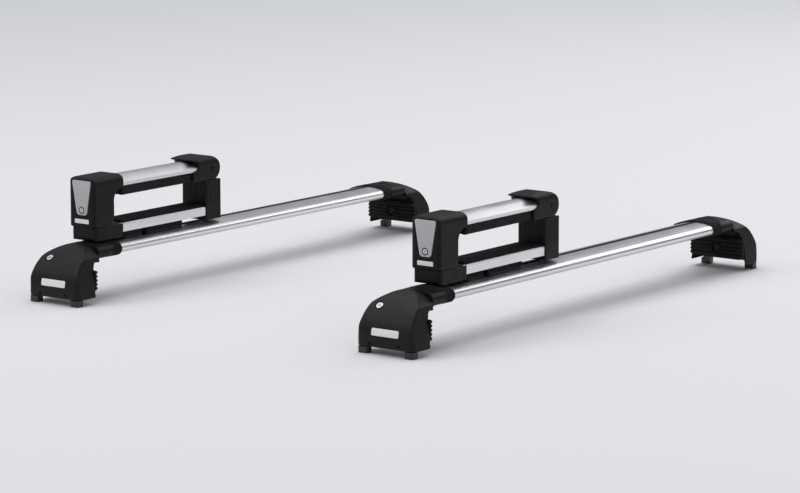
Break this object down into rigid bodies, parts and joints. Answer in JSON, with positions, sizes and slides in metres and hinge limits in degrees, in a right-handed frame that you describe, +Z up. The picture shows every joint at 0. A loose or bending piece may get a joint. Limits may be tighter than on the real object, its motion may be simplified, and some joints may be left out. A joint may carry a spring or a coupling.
{
  "type": "roof ski rack",
  "caption": "Roof ski rack: wing-shaped crossbars on clamping rail feet, each with a hinged locking ski carrier lying along it.",
  "frame": {"origin": "on the ground plane of the clamp claws, midway between the bars and between the feet", "axes": "+X forward along the car, +Y to the car's left along the bars, +Z up"},
  "size_m": [0.795, 0.996, 0.205],
  "materials": {
    "anodised_aluminium": "satin anodised, brushed lengthwise",
    "moulded_plastic": "fine moulded grain, satin",
    "cover_plastic": "fine moulded grain, satin",
    "button_plastic": "satin grey paint",
    "rubber": "matt ribbed rubber",
    "lock_metal": "polished",
    "steel": "zinc plated",
    "painted_steel": "black powder coat"
  },
  "bodies": {
    "rack": {"crossbar_front": "anodised_aluminium", "crossbar_rear": "anodised_aluminium", "slot_strips": "rubber", "bar_collars": "rubber", "foot_base_front_right": "moulded_plastic", "foot_pad_front_right": "rubber", "foot_base_front_left": "moulded_plastic", "foot_pad_front_left": "rubber", "foot_base_rear_right": "moulded_plastic", "foot_pad_rear_right": "rubber", "foot_base_rear_left": "moulded_plastic", "foot_pad_rear_left": "rubber", "front_post_front": "moulded_plastic", "lower_profile_front": "anodised_aluminium", "lower_pad_front": "rubber", "mount_brackets_front": "moulded_plastic", "mount_bolts_front": "steel", "hinge_base_front": "moulded_plastic", "front_post_rear": "moulded_plastic", "lower_profile_rear": "anodised_aluminium", "lower_pad_rear": "rubber", "mount_brackets_rear": "moulded_plastic", "mount_bolts_rear": "steel", "hinge_base_rear": "moulded_plastic"},
    "cover_front_right": {"foot_cover_front_right": "cover_plastic"},
    "lock_front_right": {"cover_lock_front_right": "lock_metal"},
    "bolt_front_right": {"clamp_bolt_front_right": "steel"},
    "claw_front_right": {"rail_claw_front_right": "painted_steel"},
    "cover_front_left": {"foot_cover_front_left": "cover_plastic"},
    "lock_front_left": {"cover_lock_front_left": "lock_metal"},
    "bolt_front_left": {"clamp_bolt_front_left": "steel"},
    "claw_front_left": {"rail_claw_front_left": "painted_steel"},
    "cover_rear_right": {"foot_cover_rear_right": "cover_plastic"},
    "lock_rear_right": {"cover_lock_rear_right": "lock_metal"},
    "bolt_rear_right": {"clamp_bolt_rear_right": "steel"},
    "claw_rear_right": {"rail_claw_rear_right": "painted_steel"},
    "cover_rear_left": {"foot_cover_rear_left": "cover_plastic"},
    "lock_rear_left": {"cover_lock_rear_left": "lock_metal"},
    "bolt_rear_left": {"clamp_bolt_rear_left": "steel"},
    "claw_rear_left": {"rail_claw_rear_left": "painted_steel"},
    "slider_front": {"hinge_slider_front": "moulded_plastic"},
    "arm_front": {"upper_profile_front": "anodised_aluminium", "upper_pad_front": "rubber", "lock_housing_front": "moulded_plastic", "hinge_cap_front": "moulded_plastic", "hinge_pin_front": "steel", "button_spring_front": "steel"},
    "button_front": {"release_button_front": "button_plastic"},
    "key_front": {"button_lock_front": "lock_metal"},
    "pawl_front": {"latch_pawl_front": "painted_steel"},
    "slider_rear": {"hinge_slider_rear": "moulded_plastic"},
    "arm_rear": {"upper_profile_rear": "anodised_aluminium", "upper_pad_rear": "rubber", "lock_housing_rear": "moulded_plastic", "hinge_cap_rear": "moulded_plastic", "hinge_pin_rear": "steel", "button_spring_rear": "steel"},
    "button_rear": {"release_button_rear": "button_plastic"},
    "key_rear": {"button_lock_rear": "lock_metal"},
    "pawl_rear": {"latch_pawl_rear": "painted_steel"}
  },
  "joints": [
    {"name": "cover_swing_front_right", "type": "hinge", "parent": "rack", "child": "cover_front_right", "pos_m": [0.3425, -0.4946, 0.0145], "axis": [1, 0, 0], "range_deg": [0, 50]},
    {"name": "cover_key_front_right", "type": "hinge", "parent": "cover_front_right", "child": "lock_front_right", "pos_m": [0.3165, -0.475, 0.07252], "axis": [0, -0.6296, 0.777], "range_deg": [0, 90]},
    {"name": "bolt_turn_front_right", "type": "hinge", "parent": "rack", "child": "bolt_front_right", "pos_m": [0.3425, -0.468, 0.038], "axis": [0, -1, 0], "range_deg": [0, 1083]},
    {"name": "claw_slide_front_right", "type": "slide", "parent": "rack", "child": "claw_front_right", "axis": [0, -1, 0], "range_m": [0, 0.00375]},
    {"name": "cover_swing_front_left", "type": "hinge", "parent": "rack", "child": "cover_front_left", "pos_m": [0.3425, 0.4946, 0.0145], "axis": [-1, 0, 0], "range_deg": [0, 50]},
    {"name": "cover_key_front_left", "type": "hinge", "parent": "cover_front_left", "child": "lock_front_left", "pos_m": [0.3165, 0.475, 0.07252], "axis": [0, -0.6296, -0.777], "range_deg": [0, 90]},
    {"name": "bolt_turn_front_left", "type": "hinge", "parent": "rack", "child": "bolt_front_left", "pos_m": [0.3425, 0.468, 0.038], "axis": [0, 1, 0], "range_deg": [0, 1083]},
    {"name": "claw_slide_front_left", "type": "slide", "parent": "rack", "child": "claw_front_left", "axis": [0, 1, 0], "range_m": [0, 0.00375]},
    {"name": "cover_swing_rear_right", "type": "hinge", "parent": "rack", "child": "cover_rear_right", "pos_m": [-0.3425, -0.4791, 0.0145], "axis": [1, 0, 0], "range_deg": [0, 50]},
    {"name": "cover_key_rear_right", "type": "hinge", "parent": "cover_rear_right", "child": "lock_rear_right", "pos_m": [-0.3685, -0.4595, 0.07252], "axis": [0, -0.6296, 0.777], "range_deg": [0, 90]},
    {"name": "bolt_turn_rear_right", "type": "hinge", "parent": "rack", "child": "bolt_rear_right", "pos_m": [-0.3425, -0.4525, 0.038], "axis": [0, -1, 0], "range_deg": [0, 1083]},
    {"name": "claw_slide_rear_right", "type": "slide", "parent": "rack", "child": "claw_rear_right", "axis": [0, -1, 0], "range_m": [0, 0.00375]},
    {"name": "cover_swing_rear_left", "type": "hinge", "parent": "rack", "child": "cover_rear_left", "pos_m": [-0.3425, 0.4791, 0.0145], "axis": [-1, 0, 0], "range_deg": [0, 50]},
    {"name": "cover_key_rear_left", "type": "hinge", "parent": "cover_rear_left", "child": "lock_rear_left", "pos_m": [-0.3685, 0.4595, 0.07252], "axis": [0, -0.6296, -0.777], "range_deg": [0, 90]},
    {"name": "bolt_turn_rear_left", "type": "hinge", "parent": "rack", "child": "bolt_rear_left", "pos_m": [-0.3425, 0.4525, 0.038], "axis": [0, 1, 0], "range_deg": [0, 1083]},
    {"name": "claw_slide_rear_left", "type": "slide", "parent": "rack", "child": "claw_rear_left", "axis": [0, 1, 0], "range_m": [0, 0.00375]},
    {"name": "arm_lift_front", "type": "slide", "parent": "rack", "child": "slider_front", "axis": [0, 0, 1], "range_m": [0, 0.02]},
    {"name": "arm_swing_front", "type": "hinge", "parent": "slider_front", "child": "arm_front", "pos_m": [0.3425, -0.09, 0.181], "axis": [-1, 0, 0], "range_deg": [0, 75]},
    {"name": "button_press_front", "type": "slide", "parent": "arm_front", "child": "button_front", "axis": [0, 1, 0], "range_m": [0, 0.005], "stiffness_N_per_m": 400, "springref_m": -0.005, "deforming": ["button_spring_front"]},
    {"name": "button_key_front", "type": "hinge", "parent": "button_front", "child": "key_front", "pos_m": [0.3425, -0.391, 0.146], "axis": [0, -1, 0], "range_deg": [0, 90]},
    {"name": "pawl_rock_front", "type": "hinge", "parent": "arm_front", "child": "pawl_front", "pos_m": [0.3425, -0.376, 0.152], "axis": [-1, 0, 0], "range_deg": [0, 14.5]},
    {"name": "arm_lift_rear", "type": "slide", "parent": "rack", "child": "slider_rear", "axis": [0, 0, 1], "range_m": [0, 0.02]},
    {"name": "arm_swing_rear", "type": "hinge", "parent": "slider_rear", "child": "arm_rear", "pos_m": [-0.3425, -0.105, 0.181], "axis": [-1, 0, 0], "range_deg": [0, 75]},
    {"name": "button_press_rear", "type": "slide", "parent": "arm_rear", "child": "button_rear", "axis": [0, 1, 0], "range_m": [0, 0.005], "stiffness_N_per_m": 400, "springref_m": -0.005, "deforming": ["button_spring_rear"]},
    {"name": "button_key_rear", "type": "hinge", "parent": "button_rear", "child": "key_rear", "pos_m": [-0.3425, -0.406, 0.146], "axis": [0, -1, 0], "range_deg": [0, 90]},
    {"name": "pawl_rock_rear", "type": "hinge", "parent": "arm_rear", "child": "pawl_rear", "pos_m": [-0.3425, -0.391, 0.152], "axis": [-1, 0, 0], "range_deg": [0, 14.5]}
  ],
  "couplings": [
    {"joint": "bolt_turn_front_right", "follows": "claw_slide_front_right", "rad_per_m": 5026.5},
    {"joint": "bolt_turn_front_left", "follows": "claw_slide_front_left", "rad_per_m": 5026.5},
    {"joint": "bolt_turn_rear_right", "follows": "claw_slide_rear_right", "rad_per_m": 5026.5},
    {"joint": "bolt_turn_rear_left", "follows": "claw_slide_rear_left", "rad_per_m": 5026.5},
    {"joint": "pawl_rock_front", "follows": "button_press_front", "rad_per_m": 50},
    {"joint": "pawl_rock_rear", "follows": "button_press_rear", "rad_per_m": 50}
  ]
}
